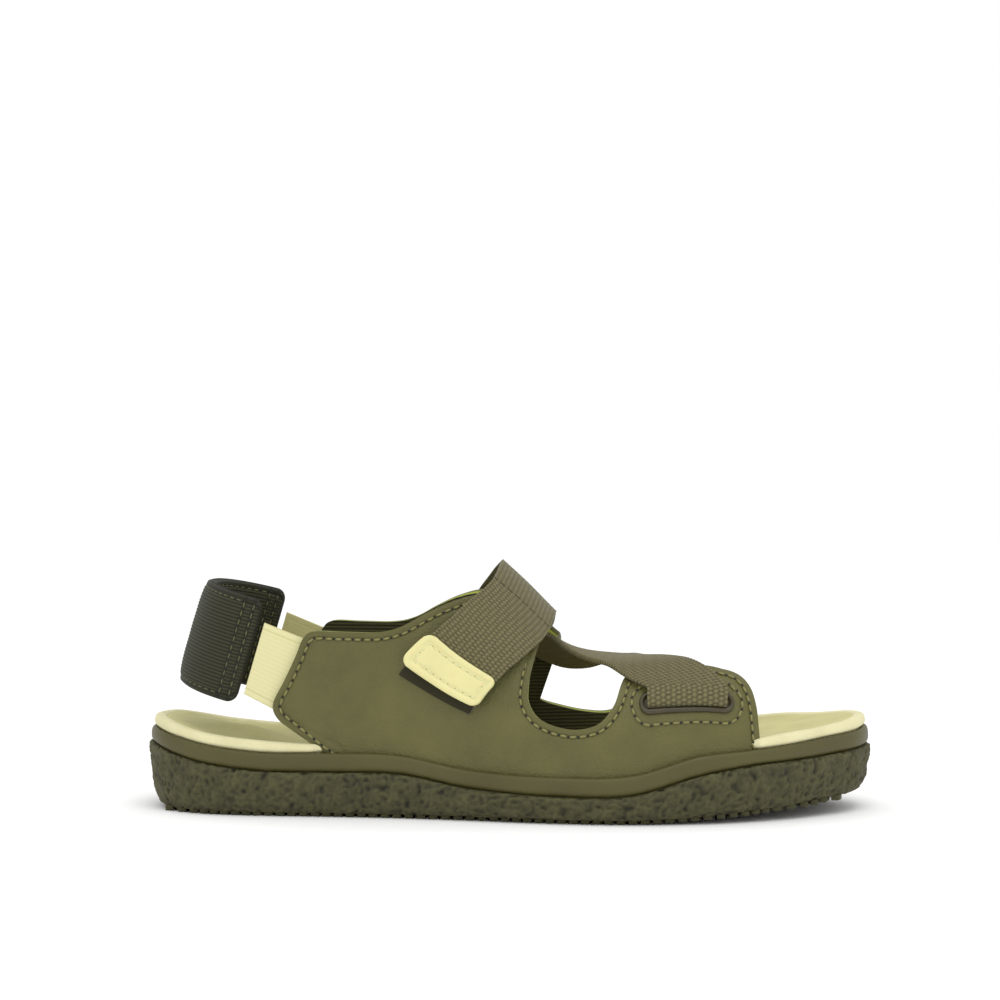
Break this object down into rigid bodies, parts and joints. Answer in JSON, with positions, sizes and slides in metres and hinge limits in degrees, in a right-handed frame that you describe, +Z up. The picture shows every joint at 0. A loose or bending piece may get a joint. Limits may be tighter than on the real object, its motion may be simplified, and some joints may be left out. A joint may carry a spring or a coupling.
{
  "type": "sandal",
  "caption": "Strappy sport sandal for the right foot, with leather quarters, a webbing strap with a hook-and-loop flap, a padded heel sleeve on elastics and a lugged sole",
  "frame": {"origin": "on the ground under the middle of the sole's length and width", "axes": "+X points to the toe along the sole's length, +Z up, and the outer side of the foot faces -Y"},
  "size_m": [0.27, 0.1, 0.0925],
  "materials": {
    "outsole_rubber": "moulded tread with fine pebbled sides, matt",
    "rand_rubber": "smooth satin band",
    "board": "pressed fibre board",
    "footbed_foam": "moulded foam with a smooth matt rim",
    "sock_leather": "thin lining leather",
    "leather": "fine grain, semi-matt",
    "foam": "open foam edge",
    "lining": "ribbed knit",
    "rim_plastic": "moulded frame, matt",
    "webbing": "woven polyester band",
    "loop_fabric": "looped pile",
    "hook_fabric": "fine moulded hooks",
    "tab_plastic": "soft moulded tab, matt",
    "elastic": "ribbed elastic",
    "sleeve_fabric": "stretch fabric with stitched rows",
    "padding": "soft foam"
  },
  "bodies": {
    "shoe": {"outsole": "outsole_rubber", "rand": "rand_rubber", "insole_board": "board", "footbed": "footbed_foam", "footbed_sock": "sock_leather", "quarter_outer_leather": "leather", "quarter_outer_foam": "foam", "quarter_outer_lining": "lining", "quarter_inner_leather": "leather", "quarter_inner_foam": "foam", "quarter_inner_lining": "lining", "slot_rim_outer": "rim_plastic", "slot_rim_inner": "rim_plastic", "webbing": "webbing", "loop_patch": "loop_fabric"},
    "flap": {"webbing_flap": "webbing", "hook_patch": "hook_fabric", "strap_tab": "tab_plastic"},
    "heel_arms": {"elastic_outer": "elastic", "elastic_inner": "elastic"},
    "heel_sleeve": {"sleeve_shell": "sleeve_fabric", "sleeve_padding": "padding", "sleeve_lining": "lining"}
  },
  "joints": [
    {"name": "strap_flap", "type": "hinge", "parent": "shoe", "child": "flap", "pos_m": [0.00677, -0.02012, 0.07817], "axis": [-0.7451, 0.0601, 0.6642], "range_deg": [0, 150]},
    {"name": "heel_tilt", "type": "hinge", "parent": "shoe", "child": "heel_arms", "pos_m": [-0.0788, 0, 0.0521], "axis": [0, 1, 0], "range_deg": [-15, 19], "stiffness_Nm_per_rad": 1.5},
    {"name": "heel_stretch", "type": "slide", "parent": "heel_arms", "child": "heel_sleeve", "axis": [-0.9111, 0, 0.4122], "range_m": [0, 0.01], "stiffness_N_per_m": 800}
  ]
}
